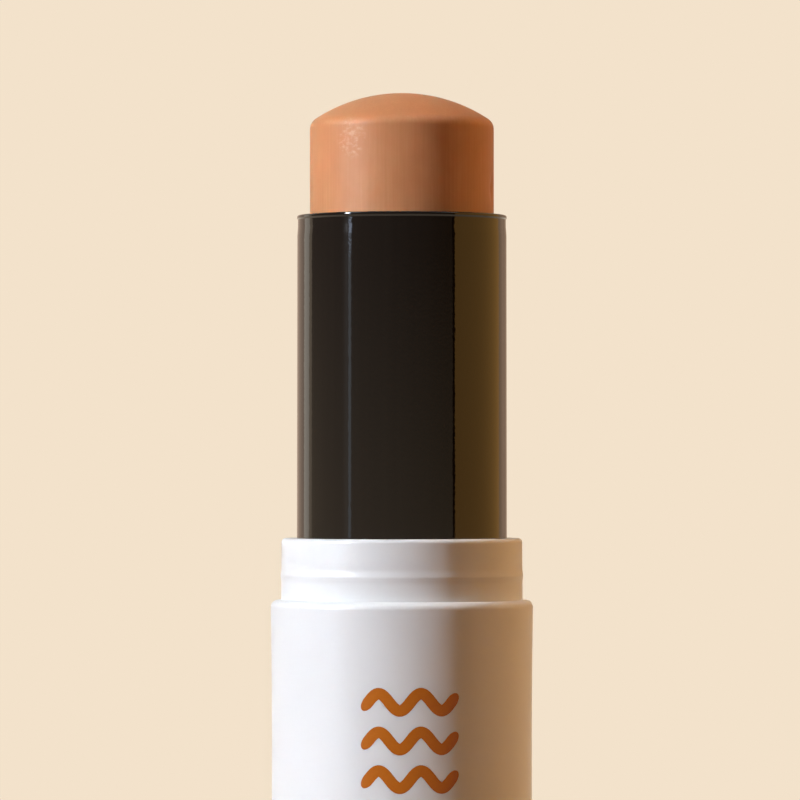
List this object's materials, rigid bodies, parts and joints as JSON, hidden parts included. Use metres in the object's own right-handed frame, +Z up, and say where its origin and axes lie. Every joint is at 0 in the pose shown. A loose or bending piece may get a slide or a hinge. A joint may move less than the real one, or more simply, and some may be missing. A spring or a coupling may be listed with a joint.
{
  "type": "sunscreen stick",
  "caption": "Uncapped twist-up stick: white round base, glossy black barrel and a domed tan bullet wound out of it by a screw.",
  "frame": {"origin": "centre of the foot, on the surface that the stick stands on", "axes": "+Z up along the stick's axis, towards the bullet; the printed side of the base faces -Y"},
  "size_m": [0.025, 0.025, 0.0941],
  "materials": {
    "white_shell": "satin moulded polypropylene",
    "white_collar": "satin moulded polypropylene",
    "spindle": "natural acetal",
    "ring": "soft silicone",
    "black_barrel": "polished black styrene",
    "plug": "natural polypropylene",
    "cup": "natural polypropylene",
    "balm": "smooth waxy balm"
  },
  "bodies": {
    "base": {"base_shell": "white_shell", "neck_collar": "white_collar", "drive_spindle": "spindle", "friction_ring": "ring"},
    "turning_barrel": {"barrel": "black_barrel", "barrel_end_plug": "plug"},
    "bullet_carrier": {"lift_cup": "cup", "sunscreen_bullet": "balm"}
  },
  "joints": [
    {"name": "barrel_twist", "type": "hinge", "parent": "base", "child": "turning_barrel", "pos_m": [0, 0, 0.0116], "axis": [0, 0, 1], "range_deg": [-730, 2728]},
    {"name": "bullet_feed", "type": "slide", "parent": "turning_barrel", "child": "bullet_carrier", "axis": [0, 0, 1], "range_m": [-0.01217, 0.04548]}
  ],
  "couplings": [
    {"joint": "bullet_feed", "follows": "barrel_twist", "m_per_rad": 0.00095493}
  ]
}
